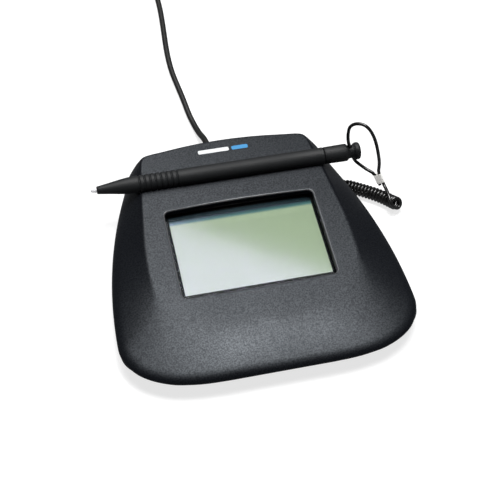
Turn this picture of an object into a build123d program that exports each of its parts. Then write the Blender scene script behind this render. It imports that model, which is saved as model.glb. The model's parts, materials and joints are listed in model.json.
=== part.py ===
from build123d import *
import math
import os

# A desktop pad that captures signatures, with its tethered stylus and its USB cord.
# Millimetres. X runs to the right, Y to the back and Z up. The pad rests on Z = 0, and the
# origin is under the middle of the pad.

# Housing outline, seen from above (right half; the left half mirrors it)
HALF_WIDTH = 75.9
HALF_DEPTH = 72.4
WIDEST_Y = -42.9
FRONT_FLAT_X = 28.0
FRONT_CORNER = [(50.0, -70.1), (62.2, -65.2), (70.4, -58.2)]
WAIST_RADIUS = 271.6
WAIST_END_Y = 56.0
REAR_CORNER = (54.3, 64.6)
REAR_ARC_END = (47.0, 69.6)
REAR_ARC_MID = (24.0, 71.7)

# Heights: feet, lower edge, parting line, rim and the tilted plateau round the display
FOOT_HEIGHT = 1.6
PARTING_Z = 8.6
RIM_Z = 11.0
LOWER_TUCK = 4.6
PARTING_GAP = 0.15
WALL = 2.2
PLATEAU_TILT = 4.0
PLATEAU_Z = 19.3
WINDOW_Y = 1.5
CREASE_RADIUS = 2.0

# Plateau outline, seen from above (right half)
PLATEAU_FRONT_Y = -44.9
PLATEAU_FRONT_END = (20.0, -44.3)
PLATEAU_CORNER = [(36.0, -41.6), (47.6, -33.4)]
PLATEAU_HALF_WIDTH = 53.3
PLATEAU_WIDEST_Y = -15.0
PLATEAU_SIDE_MID = (52.1, 22.0)
PLATEAU_SIDE_END = (46.9, 60.5)
PLATEAU_REAR_CORNER = (45.6, 66.0)
PLATEAU_REAR_END = (42.6, 68.5)
PLATEAU_REAR_MID = (22.0, 71.3)

# Display window and the stack under it, as depths below the plateau
WINDOW = (80.0, 55.0)
WINDOW_CORNER = 3.0
PAD_SIZE = (92.0, 67.0)
PAD_DEPTH = 3.4
GASKET_DEPTH = 3.9
GLASS_DEPTH = 5.0
SENSOR_DEPTH = 5.25
FRAME_LIP_DEPTH = 5.75
LCD_DEPTH = 7.6
GUIDE_DEPTH = 9.6
DISPLAY_BOARD_DEPTH = 11.2
DISPLAY_BOARD_SIZE = (104.0, 71.0)
STACK_SIZE = (91.0, 66.0)
SENSOR_SIZE = (90.0, 65.0)
LCD_SIZE = (89.0, 64.0)
GUIDE_SIZE = (88.0, 63.0)
FRAME_INSIDE = (89.4, 64.4)
FRAME_OPENING = (77.0, 50.5)
FRAME_OPENING_SHIFT = (0.5, 2.2)
GASKET_OPENING = (81.0, 56.0)
DISPLAY_SCREWS_XY = [(-48.6, -32.0), (48.6, -32.0), (-48.6, 32.0), (48.6, 32.0)]

TOUCH_TAIL_X = -28.5
TOUCH_TAIL_WIDTH = 6.0
TOUCH_RIBBON_YZ = [(35.45, 16.5), (38.6, 15.8), (41.0, 10.4), (43.5, 9.2)]
DISPLAY_RIBBON_YZ = [(35.6, 10.2), (38.6, 9.6), (42.5, 9.2)]

# Stylus, along X, and the rest that holds it
STYLUS_Y = 48.5
STYLUS_Z = 24.3
STYLUS_RADIUS = 4.7
REST_GAP = 0.3
NIB_TIP_X = -75.4
NOSE_X = -72.2
GRIP_START_X = -50.5
GRIP_END_X = -26.5
SEAM_X = 51.4
SEAM_GAP = 0.3
CAP_SHOULDER_X = 64.6
NECK_END_X = 69.0
STYLUS_END_X = 71.8
NECK_RADIUS = 3.4
RIB_COUNT = 8
RIB_PITCH = 2.9
BORE_RADIUS = 3.2
SPIGOT_RADIUS = 3.17
CORE_RADIUS = 2.6
CORE_END_X = 20.0
NIB_RADIUS = 0.9
NIB_CONE_RADIUS = 1.25
PIN_RADIUS = 1.5
PIN_CLEARANCE = 0.05
END_WALL_X = 48.4

# Tether: a curly cord from the right side wall, its straight end, a crimp and a loop
TETHER_DIAMETER = 1.85
COIL_DIAMETER = 7.6
COIL_ROUTE = [(63.4, 42.9, 3.8), (71.4, 37.9, 3.8), (79.0, 32.6, 3.8), (84.0, 28.0, 3.8), (86.6, 24.4, 4.4),
              (87.3, 21.6, 6.4)]
LEAD_ROUTE = [(81.3, 36.29, 13.72), (83.19, 34.54, 9.2), (83.3, 28.8, 9.9), (83.2, 24.6, 9.9),
              (83.2, 21.2, 8.5), (84.7, 20.2, 5.7)]
LOOP_ROUTE = [(81.17, 34.96, 8.88), (78.3, 37.62, 15.75), (75.0, 41.5, 15.5), (71.6, 44.4, 17.3),
              (68.6, 47.0, 19.2), (65.56, 49.66, 29.8), (65.0, 50.2, 34.2), (64.95, 50.2, 38.4),
              (65.2, 50.0, 41.7), (66.7, 48.8, 44.9), (69.2, 46.7, 46.9), (71.7, 44.5, 47.3),
              (74.0, 42.5, 45.6), (76.2, 40.6, 41.4), (77.8, 39.1, 36.0), (78.9, 38.0, 30.4),
              (79.9, 37.7, 25.3), (80.3, 37.7, 20.8), (80.14, 37.37, 16.5), (81.3, 36.29, 13.72)]
LOOP_IN_CAP = (4, 5)
LOOP_CLEARANCE = 0.5
FERRULE_CENTRE = (80.55, 36.27, 12.95)
FERRULE_AXIS = (0.363, -0.337, -0.8685)
FERRULE_ACROSS = (0.901, -0.110, 0.419)
FERRULE_LENGTH = 5.6
FERRULE_WIDTH = 4.3
FERRULE_THICKNESS = 2.7
STRAND_SPACING = 2.0
ANCHOR_Z = 6.0
ANCHOR_RADIUS = 1.5
ANCHOR_LENGTH = 13.9

# USB cord, from the gland in the rear wall to the plug
CORD_DIAMETER = 3.4
CORD_X = -5.5
GLAND_RADIUS = 3.0
GLAND_COLLAR = 1.0
GLAND_COLLAR_DEPTHS = (5.2, 3.7)
GLAND_TIP_RADIUS = 2.5
GLAND_LENGTH = 11.0
CORD_ROUTE = [(-5.5, 83.4, 8.6), (-6.1, 90.6, 7.6), (-7.3, 98.6, 3.6), (-8.6, 107.6, 1.7), (-10.2, 118.0, 1.7),
              (-10.9, 130.0, 1.7), (-12.2, 143.0, 1.7), (-13.6, 158.0, 1.7), (-13.2, 176.0, 1.7),
              (-11.4, 197.0, 1.7), (-9.9, 218.0, 1.7), (-10.2, 239.0, 1.8), (-12.0, 258.0, 2.8)]
COIL_CENTRE = (7.0, 261.0)
COIL_MEAN_RADIUS = 19.0
COIL_SECTION = 13.6
TIE_THICKNESS = 0.8
TIE_DEGREES = 26.0

# USB plug, standard shell size
SHELL_WIDTH = 12.0
SHELL_HEIGHT = 4.5
SHELL_LENGTH = 18.75
SHELL_WALL = 0.3
PLUG_GRIP_LENGTH = 24.0
PLUG_GRIP_WIDTH = 15.6
PLUG_GRIP_HEIGHT = 8.0
PLUG_TURN = math.radians(-90)
PLUG_AXIS = (math.cos(PLUG_TURN), math.sin(PLUG_TURN), 0)
PLUG_ORIGIN = (44.0, 266.5, PLUG_GRIP_HEIGHT / 2)
TAIL_ROUTE = [(7.0, 285.1, 12.2), (18.5, 286.3, 8.0), (30.4, 286.5, 4.6), (36.6, 283.9, 4.0),
              (41.4, 279.1, 4.0), (44.0, 272.9, 4.0), PLUG_ORIGIN]

# Fasteners
HOUSING_SCREWS_XY = [(-60.0, -46.0), (60.0, -46.0), (-48.6, 42.0), (48.6, 42.0)]
FEET_XY = [(-54.0, -56.0), (54.0, -56.0), (-40.0, 56.0), (40.0, 56.0)]
BOARD_SCREWS_XY = [(-35.0, 45.0), (35.0, 45.0), (-35.0, 60.0), (35.0, 60.0)]
HOUSING_SCREW_RADIUS = 1.3
HOUSING_HEAD_RADIUS = 2.8
HOUSING_HEAD_Z = 1.9
HOUSING_BOSS_RADIUS = 3.2
HOUSING_PILLAR_RADIUS = 4.4
HOUSING_BOSS_Z = 6.0
DISPLAY_SCREW_RADIUS = 1.0
DISPLAY_BOSS_RADIUS = 2.4
BOARD_SCREW_RADIUS = 1.1
BOARD_POST_RADIUS = 2.8
FOOT_RADIUS = 6.0
FOOT_TOP_Z = 2.2
PLATE_SIZE = (46.0, 26.0, 0.4)
PLATE_Y = 12.0
WIRE_DIAMETER = 0.45
MAIN_BOARD_Z = 7.4
MAIN_BOARD_THICKNESS = 1.6


def mirrored_face(half_edges):
    """Face bounded by right-half edges, from front middle to rear middle, and their mirror images."""
    left = [edge.mirror(Plane.YZ) for edge in half_edges]
    return make_face(half_edges + left)


def rim_edges(inset, z):
    """Right half of the housing outline, drawn in by inset, at height z."""
    scale_x = (HALF_WIDTH - inset) / HALF_WIDTH
    scale_y = (HALF_DEPTH - inset) / HALF_DEPTH

    def point(x, y):
        return (x * scale_x, y * scale_y, z)

    def waist_x(y):
        return HALF_WIDTH - WAIST_RADIUS + math.sqrt(WAIST_RADIUS**2 - (y - WIDEST_Y) ** 2)

    front = Line(point(0, -HALF_DEPTH), point(FRONT_FLAT_X, -HALF_DEPTH))
    corner = Spline(
        [front @ 1] + [point(x, y) for x, y in FRONT_CORNER] + [point(HALF_WIDTH, WIDEST_Y)],
        tangents=[(1, 0, 0), (0, 1, 0)],
    )
    middle_y = (WIDEST_Y + WAIST_END_Y) / 2
    waist = point(waist_x(middle_y), middle_y)
    side = ThreePointArc(corner @ 1, waist, point(waist_x(WAIST_END_Y), WAIST_END_Y))
    rear = ThreePointArc(point(*REAR_ARC_END), point(*REAR_ARC_MID), point(0, HALF_DEPTH))
    rear_corner = Spline([side @ 1, point(*REAR_CORNER), rear @ 0], tangents=[side % 1, rear % 0])
    return [front, corner, side, rear_corner, rear]


def plateau_edges(lower):
    """Right half of the crease round the plateau, on the tilted plane lowered by lower."""
    shrink = 1 - 0.4 * lower / PLATEAU_HALF_WIDTH
    slope = math.tan(math.radians(PLATEAU_TILT))

    def point(x, y):
        return (x * shrink, y * shrink, PLATEAU_Z + (y * shrink - WINDOW_Y) * slope - lower)

    front = ThreePointArc(
        point(0, PLATEAU_FRONT_Y),
        point(PLATEAU_FRONT_END[0] / 2, PLATEAU_FRONT_Y + 0.15),
        point(*PLATEAU_FRONT_END),
    )
    corner = Spline(
        [front @ 1] + [point(x, y) for x, y in PLATEAU_CORNER] + [point(PLATEAU_HALF_WIDTH, PLATEAU_WIDEST_Y)],
        tangents=[front % 1, Vector(0, 1, slope)],
    )
    side = ThreePointArc(corner @ 1, point(*PLATEAU_SIDE_MID), point(*PLATEAU_SIDE_END))
    rear = ThreePointArc(point(*PLATEAU_REAR_END), point(*PLATEAU_REAR_MID), point(0, HALF_DEPTH))
    rear_corner = Spline([side @ 1, point(*PLATEAU_REAR_CORNER), rear @ 0], tangents=[side % 1, rear % 0])
    return [front, corner, side, rear_corner, rear]


def upper_form(inset, lower, bottom_z):
    """Solid shape of the upper half: straight wall to the rim, then ruled slopes to the plateau."""
    rim = mirrored_face(rim_edges(inset, RIM_Z - lower))
    plateau = mirrored_face(plateau_edges(lower))
    skirt = extrude(rim, amount=RIM_Z - lower - bottom_z, dir=(0, 0, -1))
    return skirt + loft([rim, plateau], ruled=True)


def lower_form(inset, bottom_z, top_z):
    """Solid shape of the lower half, which draws in towards the floor."""
    slope = LOWER_TUCK / (PARTING_Z - FOOT_HEIGHT)
    low = mirrored_face(rim_edges(inset + slope * (PARTING_Z - bottom_z), bottom_z))
    high = mirrored_face(rim_edges(inset + slope * (PARTING_Z - top_z), top_z))
    return loft([low, high], ruled=True)


PLATEAU = Plane(origin=(0, WINDOW_Y, PLATEAU_Z), x_dir=(1, 0, 0), z_dir=(0, 0, 1)).rotated((PLATEAU_TILT, 0, 0))


def slab(size, top, bottom, corner=0.0, hole=None, hole_corner=0.0):
    """Plate parallel to the plateau between two depths below it, with an optional window."""
    outline = RectangleRounded(*size, corner) if corner else Rectangle(*size)
    if hole:
        outline -= RectangleRounded(*hole, hole_corner) if hole_corner else Rectangle(*hole)
    return PLATEAU * Pos(0, 0, -bottom) * extrude(outline, amount=bottom - top)


def rod(radius, start, end):
    """Round bar between two points."""
    axis = Vector(end) - Vector(start)
    return Plane(origin=start, z_dir=axis) * extrude(Circle(radius), amount=axis.length)


def stylus_turning(points):
    """Solid of revolution about the stylus's axis from (x, radius) points that start and end on the axis."""
    profile = make_face(Polyline([(x, r) for x, r in points], close=True))
    return Pos(0, STYLUS_Y, STYLUS_Z) * revolve(profile, Axis.X)


def cord_path(route, name):
    """Straight runs joined by tangent arcs, each as large as its two runs allow."""
    points = [Vector(p) for p in route]
    radii = []
    for before, here, after in zip(points, points[1:], points[2:]):
        turn = math.radians((here - before).get_angle(after - here))
        run = min((here - before).length, (after - here).length)
        radii.append(0.45 * run / math.tan(turn / 2))
    print(name, "arc radii", [round(r, 1) for r in radii])
    return FilletPolyline(points, radius=radii)


def cord_tube(route, diameter, name):
    """Tube along a cord's route."""
    path = cord_path(route, name)
    section = Plane(origin=path @ 0, z_dir=path % 0) * Circle(diameter / 2)
    tube = sweep(section, path=path)
    swept = math.pi * diameter**2 / 4 * path.length
    print(name, "length", round(path.length, 1), "volume", round(tube.volume, 1), "expected", round(swept, 1))
    return tube


def screw(top, head_radius, head_height, shank_radius, shank_length, up):
    """Cross-recessed screw whose head's outer face is at top; up is +1 where the shank points up."""
    x, y, z = top
    head_end = (x, y, z + up * head_height)
    shank_end = (x, y, z + up * (head_height + shank_length))
    body = rod(head_radius, top, head_end) + rod(shank_radius, head_end, shank_end)
    slot_depth = head_height * 0.55
    for turn in (0, 90):
        slot = Box(head_radius * 1.3, head_radius * 0.3, slot_depth)
        body -= Pos(x, y, z + up * slot_depth / 2) * Rot(0, 0, turn) * slot
    return body


def on_plateau(x, y, depth):
    """Point at (x, y) measured along the plateau and at a depth below it."""
    return (PLATEAU * Pos(x, y, -depth)).position


def gland_notch():
    """Round opening of the rear wall, with a pocket for the gland's collar, shared by both housings."""
    collar_radius = GLAND_RADIUS + GLAND_COLLAR + 0.1
    collar_y = HALF_DEPTH - GLAND_COLLAR_DEPTHS[1] + 0.05
    opening = rod(GLAND_RADIUS, (CORD_X, HALF_DEPTH - 6, PARTING_Z), (CORD_X, HALF_DEPTH + 2, PARTING_Z))
    return opening + rod(collar_radius, (CORD_X, HALF_DEPTH - 8, PARTING_Z), (CORD_X, collar_y, PARTING_Z))


def is_on_plateau(vertex):
    """Whether a corner of the upper form lies on the plateau."""
    return abs(PLATEAU.to_local_coords(Vector(vertex)).Z) < 0.01


def display_bosses():
    """Posts under the plateau that take the display's screws."""
    bosses = Part()
    for x, y in DISPLAY_SCREWS_XY:
        bosses += rod(DISPLAY_BOSS_RADIUS, on_plateau(x, y, GUIDE_DEPTH), on_plateau(x, y, 1.0))
    return bosses


def make_top_housing():
    """Upper shell with the display window, the stylus rest, screw bosses and the gland notch."""
    outer = upper_form(0, 0, PARTING_Z)
    crease = [edge for edge in outer.edges() if all(is_on_plateau(corner) for corner in edge.vertices())]
    outer = fillet(crease, CREASE_RADIUS)
    shell = outer - upper_form(WALL, WALL, PARTING_Z - 1)
    shell += slab(PAD_SIZE, 1.0, PAD_DEPTH)
    rest = rod(STYLUS_RADIUS + REST_GAP + WALL, (-56, STYLUS_Y, STYLUS_Z), (56, STYLUS_Y, STYLUS_Z))
    bosses = display_bosses()
    for x, y in HOUSING_SCREWS_XY:
        bosses += rod(HOUSING_BOSS_RADIUS, (x, y, HOUSING_BOSS_Z), (x, y, PLATEAU_Z + 4))
    below_parting = extrude(mirrored_face(rim_edges(1.0, 0)), amount=PARTING_Z)
    shell += rest & outer
    shell += bosses & (outer + below_parting)
    shell -= slab(WINDOW, -5, PAD_DEPTH + 1, WINDOW_CORNER)
    shell -= rod(STYLUS_RADIUS + REST_GAP, (-70, STYLUS_Y, STYLUS_Z), (70, STYLUS_Y, STYLUS_Z))
    for x, y in HOUSING_SCREWS_XY:
        shell -= rod(HOUSING_SCREW_RADIUS, (x, y, HOUSING_BOSS_Z - 0.1), (x, y, HOUSING_BOSS_Z + 4.4))
    for x, y in DISPLAY_SCREWS_XY:
        low, high = on_plateau(x, y, GUIDE_DEPTH + 0.1), on_plateau(x, y, GUIDE_DEPTH - 5)
        shell -= rod(DISPLAY_SCREW_RADIUS, low, high)
    shell -= gland_notch()
    return shell


def make_bottom_housing():
    """Lower tray with screw pillars, board posts, foot recesses and the tether's hole."""
    tray = lower_form(0.2, FOOT_HEIGHT, PARTING_Z - PARTING_GAP)
    tray -= lower_form(0.2 + WALL, FOOT_HEIGHT + WALL, PARTING_Z + 1)
    for x, y in HOUSING_SCREWS_XY:
        tray += rod(HOUSING_PILLAR_RADIUS, (x, y, FOOT_HEIGHT + 0.5), (x, y, HOUSING_BOSS_Z - 0.1))
        tray -= rod(HOUSING_HEAD_RADIUS + 0.2, (x, y, 0), (x, y, HOUSING_HEAD_Z + 1.8))
        tray -= rod(HOUSING_SCREW_RADIUS + 0.3, (x, y, 0), (x, y, PARTING_Z))
    for x, y in BOARD_SCREWS_XY:
        tray += rod(BOARD_POST_RADIUS, (x, y, FOOT_HEIGHT + 0.5), (x, y, MAIN_BOARD_Z))
        tray -= rod(BOARD_SCREW_RADIUS, (x, y, MAIN_BOARD_Z - 3.6), (x, y, MAIN_BOARD_Z + 1))
    for x, y in FEET_XY:
        tray -= rod(FOOT_RADIUS + 0.1, (x, y, 0), (x, y, FOOT_TOP_Z))
    tray -= Pos(0, PLATE_Y, FOOT_HEIGHT) * Box(PLATE_SIZE[0] + 0.4, PLATE_SIZE[1] + 0.4, 1.0)
    tray -= gland_notch()
    start, end = anchor_line()
    tray -= rod(ANCHOR_RADIUS + 0.05, start, end)
    return tray


def anchor_line():
    """Centre line of the tether's anchor, from inside the wall to the start of the curly cord."""
    first = Vector(COIL_ROUTE[0])
    along = (Vector(COIL_ROUTE[1]) - first).normalized()
    end = Vector(first.X, first.Y, ANCHOR_Z)
    return end - along * ANCHOR_LENGTH, end


def make_display_stack():
    """Gasket, glass, touch sensor, metal frame, display, light guide and their board."""
    board = slab(DISPLAY_BOARD_SIZE, GUIDE_DEPTH, DISPLAY_BOARD_DEPTH, 2.0)
    for x, y in DISPLAY_SCREWS_XY:
        board -= rod(DISPLAY_SCREW_RADIUS + 0.2, on_plateau(x, y, 20), on_plateau(x, y, 5))
    sensor = slab(SENSOR_SIZE, GLASS_DEPTH, SENSOR_DEPTH, 0.5)
    tail = extrude(Rectangle(TOUCH_TAIL_WIDTH, 3.0), amount=SENSOR_DEPTH - GLASS_DEPTH)
    sensor += PLATEAU * Pos(TOUCH_TAIL_X, 32.0, -SENSOR_DEPTH) * tail
    frame = slab(STACK_SIZE, SENSOR_DEPTH, FRAME_LIP_DEPTH, 1.0)
    opening = extrude(Rectangle(*FRAME_OPENING), amount=1)
    frame -= PLATEAU * Pos(*FRAME_OPENING_SHIFT, -FRAME_LIP_DEPTH) * opening
    frame += slab(STACK_SIZE, FRAME_LIP_DEPTH, GUIDE_DEPTH, 1.0, FRAME_INSIDE)
    return {
        "display_gasket": slab(STACK_SIZE, PAD_DEPTH, GASKET_DEPTH, 2.0, GASKET_OPENING, WINDOW_CORNER),
        "touch_glass": slab(STACK_SIZE, GASKET_DEPTH, GLASS_DEPTH, 1.0),
        "touch_sensor": sensor,
        "lcd_frame": frame,
        "lcd_panel": slab(LCD_SIZE, FRAME_LIP_DEPTH, LCD_DEPTH, 0.3),
        "light_guide": slab(GUIDE_SIZE, LCD_DEPTH, GUIDE_DEPTH, 0.3),
        "display_board": board,
    }


def make_display_screws():
    """Four short screws that hold the display's board to the posts of the upper shell."""
    screws = []
    for x, y in DISPLAY_SCREWS_XY:
        seat = on_plateau(x, y, DISPLAY_BOARD_DEPTH)
        head = rod(2 * DISPLAY_SCREW_RADIUS, on_plateau(x, y, DISPLAY_BOARD_DEPTH + 1.3), seat)
        screws.append(head + rod(DISPLAY_SCREW_RADIUS, seat, on_plateau(x, y, GUIDE_DEPTH - 4)))
    return Compound(screws)


def make_main_board():
    """Controller board behind the display, with its screw holes."""
    board = Pos(0, 52.5, MAIN_BOARD_Z + MAIN_BOARD_THICKNESS / 2) * Box(78, 21, MAIN_BOARD_THICKNESS)
    for x, y in BOARD_SCREWS_XY:
        board -= rod(BOARD_SCREW_RADIUS + 0.2, (x, y, 0), (x, y, 20))
    return board


def board_top():
    """Height of the main board's upper face."""
    return MAIN_BOARD_Z + MAIN_BOARD_THICKNESS


def standing_box(x, y, size):
    """Box that stands on the main board."""
    return Pos(x, y, board_top() + size[2] / 2) * Box(*size)


def make_controller_chips():
    """Main controller, touch controller and USB interface chips."""
    return Compound(
        [
            standing_box(12, 51, (12, 12, 1.4)),
            standing_box(-17.5, 55, (8, 8, 1.2)),
            standing_box(-18, 46, (7, 5, 1.2)),
        ]
    )


def make_small_components():
    """Capacitors, a crystal can and resistors."""
    parts = [standing_box(26, 56, (10.5, 4.5, 3.2))]
    for i in range(6):
        parts.append(standing_box(2 + 3.2 * i, 60.5, (2.0, 1.2, 0.8)))
    for i in range(4):
        parts.append(standing_box(22 + 3.0 * i, 50, (1.8, 1.0, 0.6)))
    for i in range(2):
        x = -30 + 4.5 * i
        parts.append(rod(1.9, (x, 51, board_top()), (x, 51, board_top() + 4.2)))
    return Compound(parts)


def make_board_screws():
    """Four screws that hold the main board to its posts."""
    z = board_top() + 1.5
    return Compound([screw((x, y, z), 2.1, 1.5, BOARD_SCREW_RADIUS, 4.6, -1) for x, y in BOARD_SCREWS_XY])


def make_housing_screws():
    """Four screws from below that close the housing."""
    places = [(x, y, HOUSING_HEAD_Z) for x, y in HOUSING_SCREWS_XY]
    return Compound([screw(place, HOUSING_HEAD_RADIUS, 1.8, HOUSING_SCREW_RADIUS, 6.2, 1) for place in places])


def make_rubber_feet():
    """Four round feet set into the underside."""
    feet = []
    for x, y in FEET_XY:
        foot = rod(FOOT_RADIUS, (x, y, 0), (x, y, FOOT_TOP_Z))
        feet.append(fillet(foot.edges().sort_by(Axis.Z)[0], 0.5))
    return Compound(feet)


def flat_ribbon(x, width, points, thickness=0.3):
    """Ribbon cable centred at x, folded through straight stretches between (y, z) points."""
    strips = Part()
    for (y0, z0), (y1, z1) in zip(points, points[1:]):
        length = math.hypot(y1 - y0, z1 - z0)
        tilt = math.degrees(math.atan2(z1 - z0, y1 - y0))
        strip = Box(width, length + thickness, thickness)
        strips += Pos(x, (y0 + y1) / 2, (z0 + z1) / 2) * Rot(tilt, 0, 0) * strip
    return strips


def make_cord_gland():
    """Moulded strain relief: a collar on each side of the rear wall and a tapered tail."""
    wall_y = HALF_DEPTH
    inner, outer = GLAND_COLLAR_DEPTHS
    points = [
        (GLAND_RADIUS + GLAND_COLLAR, wall_y - inner),
        (GLAND_RADIUS + GLAND_COLLAR, wall_y - outer),
        (GLAND_RADIUS - 0.05, wall_y - outer),
        (GLAND_RADIUS - 0.05, wall_y + 0.8),
        (GLAND_TIP_RADIUS, wall_y + GLAND_LENGTH),
        (CORD_DIAMETER / 2, wall_y + GLAND_LENGTH),
        (CORD_DIAMETER / 2, wall_y - inner),
    ]
    profile = make_face(Polyline([(r, y) for r, y in points], close=True))
    return Pos(CORD_X, 0, PARTING_Z) * revolve(profile, Axis.Y)


def make_cord_wires():
    """Four insulated wires from the end of the cord's jacket to the plug on the board."""
    wires = []
    for i in range(4):
        x = CORD_X - 3.0 + 2.0 * i
        start_x = CORD_X - 0.75 + 0.5 * i
        route = [(start_x, 66.0, 9.3), (start_x, 64.4, 9.3), (x, 62.3, 11.2), (x, 59.8, 11.2)]
        wires.append(cord_tube(route, WIRE_DIAMETER, f"wire {i}"))
    return Compound(wires)


def make_usb_cord():
    """Cord from the gland over the floor to its coil, and the stretch inside the gland."""
    inside = rod(CORD_DIAMETER / 2, (CORD_X, 66.0, PARTING_Z), CORD_ROUTE[0])
    return inside + cord_tube(CORD_ROUTE, CORD_DIAMETER, "usb_cord")


def ring_section(radius, size, z, degrees, start):
    """Part of a ring of square section that lies on the floor round the coil's centre."""
    profile = Plane.XZ * Pos(radius, z + size / 2) * RectangleRounded(size, size, size * 0.3)
    turned = revolve(profile, Axis.Z, degrees)
    return Pos(COIL_CENTRE[0], COIL_CENTRE[1], 0) * Rot(0, 0, start) * turned


def make_usb_coil():
    """Outer shape of the stored length of cord, wound into a round coil."""
    return ring_section(COIL_MEAN_RADIUS, COIL_SECTION, TIE_THICKNESS + 0.1, 360, 0)


def make_cord_tie():
    """Strap round one place of the coil."""
    outer = ring_section(COIL_MEAN_RADIUS, COIL_SECTION + 2 * TIE_THICKNESS + 0.2, 0, TIE_DEGREES, 20)
    inner = ring_section(COIL_MEAN_RADIUS, COIL_SECTION + 0.2, TIE_THICKNESS, TIE_DEGREES, 20)
    return outer - inner


def plug_frame():
    """Plane at the rear end of the plug, with Z along the plug towards its mouth."""
    return Plane(origin=PLUG_ORIGIN, x_dir=(math.sin(PLUG_TURN), -math.cos(PLUG_TURN), 0), z_dir=PLUG_AXIS)


def make_plug_grip():
    """Moulded body of the plug, tapered at the cord's end, with grip grooves."""
    sections = [
        (0, 6.4, 6.0),
        (7, PLUG_GRIP_WIDTH - 1.4, PLUG_GRIP_HEIGHT),
        (PLUG_GRIP_LENGTH, PLUG_GRIP_WIDTH, PLUG_GRIP_HEIGHT),
    ]
    faces = [plug_frame() * Pos(0, 0, z) * RectangleRounded(w, h, 1.8) for z, w, h in sections]
    grip = loft(faces, ruled=True)
    for i in range(3):
        for side in (-1, 1):
            groove = Box(1.2, PLUG_GRIP_HEIGHT + 1, 1.2)
            grip -= plug_frame() * Pos(side * PLUG_GRIP_WIDTH / 2, 0, 11 + 3 * i) * groove
    return grip


def make_plug_shell():
    """Folded steel shell of the plug with its four latch windows."""
    outer = extrude(Rectangle(SHELL_WIDTH, SHELL_HEIGHT), amount=SHELL_LENGTH)
    inner = Rectangle(SHELL_WIDTH - 2 * SHELL_WALL, SHELL_HEIGHT - 2 * SHELL_WALL)
    shell = outer - extrude(inner, amount=SHELL_LENGTH)
    for x in (-3.0, 3.0):
        shell -= Pos(x, 0, SHELL_LENGTH - 7.4) * Box(2.2, SHELL_HEIGHT + 2, 2.2)
    return plug_frame() * Pos(0, 0, PLUG_GRIP_LENGTH) * shell


def make_plug_tongue():
    """Plastic tongue that carries the contacts in the lower half of the shell."""
    tongue = Pos(0, -0.9, SHELL_LENGTH / 2 - 0.6) * Box(11.2, 1.9, SHELL_LENGTH - 1.2)
    for i in range(4):
        tongue -= Pos(-3.5 + 7 / 3 * i, 0.0, SHELL_LENGTH / 2 + 2) * Box(1.1, 0.3, SHELL_LENGTH - 6)
    return plug_frame() * Pos(0, 0, PLUG_GRIP_LENGTH) * tongue


def make_plug_contacts():
    """Four flat contacts set into the tongue."""
    contacts = []
    for i in range(4):
        contact = Pos(-3.5 + 7 / 3 * i, -0.06, SHELL_LENGTH / 2 + 1.5) * Box(1.0, 0.16, SHELL_LENGTH - 7.2)
        contacts.append(plug_frame() * Pos(0, 0, PLUG_GRIP_LENGTH) * contact)
    return Compound(contacts)


def make_tether_anchor():
    """Moulded end of the tether that is caught behind the side wall."""
    start, end = anchor_line()
    along = (end - start).normalized()
    head = start + along * 2.0
    return rod(ANCHOR_RADIUS, start, end) + rod(2.1, start, head)


def make_tether_ferrule():
    """Crimped metal sleeve that holds the loop's two strands."""
    centre = Vector(FERRULE_CENTRE)
    axis = Vector(FERRULE_AXIS)
    frame = Plane(origin=centre - axis * (FERRULE_LENGTH / 2), x_dir=FERRULE_ACROSS, z_dir=axis)
    outline = RectangleRounded(FERRULE_WIDTH, FERRULE_THICKNESS, FERRULE_THICKNESS * 0.35)
    for side in (-1, 1):
        outline -= Pos(side * STRAND_SPACING / 2, 0) * Circle(TETHER_DIAMETER / 2 + 0.04)
    outline -= Rectangle(STRAND_SPACING, 0.5)
    return frame * extrude(outline, amount=FERRULE_LENGTH)


def make_stylus_cap():
    """End cap: sleeve, neck with a cross hole for the loop, and end flange."""
    points = [
        (SEAM_X + SEAM_GAP, 0),
        (SEAM_X + SEAM_GAP, 4.4),
        (SEAM_X + SEAM_GAP + 0.3, 4.65),
        (CAP_SHOULDER_X - 0.6, 4.8),
        (CAP_SHOULDER_X, 4.4),
        (CAP_SHOULDER_X + 0.3, NECK_RADIUS),
        (NECK_END_X - 0.3, NECK_RADIUS),
        (NECK_END_X, 4.3),
        (NECK_END_X + 0.5, 4.75),
        (STYLUS_END_X - 0.8, 4.75),
        (STYLUS_END_X - 0.2, 4.2),
        (STYLUS_END_X, 3.2),
        (STYLUS_END_X, 0),
    ]
    cap = stylus_turning(points)
    low, high = (LOOP_ROUTE[i] for i in LOOP_IN_CAP)
    cap -= rod(TETHER_DIAMETER / 2 + LOOP_CLEARANCE, low, high)
    cap -= rod(PIN_RADIUS, (SEAM_X, STYLUS_Y, STYLUS_Z), (60.0, STYLUS_Y, STYLUS_Z))
    return cap


def make_swivel_pin():
    """Headed steel pin, fixed in the cap, on which the barrel turns."""
    head_x = END_WALL_X - 0.2
    head = [(head_x - 1.2, 0), (head_x - 1.2, 2.7), (head_x, 2.7)]
    points = head + [(head_x, PIN_RADIUS), (60.0, PIN_RADIUS), (60.0, 0)]
    return stylus_turning(points)


def make_stylus_barrel():
    """Hollow barrel, closed at its rear end by a wall with the swivel's hole."""
    points = [
        (GRIP_END_X, BORE_RADIUS),
        (GRIP_END_X, STYLUS_RADIUS),
        (SEAM_X - 0.3, STYLUS_RADIUS),
        (SEAM_X, 4.4),
        (SEAM_X, PIN_RADIUS + PIN_CLEARANCE),
        (END_WALL_X, PIN_RADIUS + PIN_CLEARANCE),
        (END_WALL_X, BORE_RADIUS),
    ]
    return stylus_turning(points)


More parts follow.
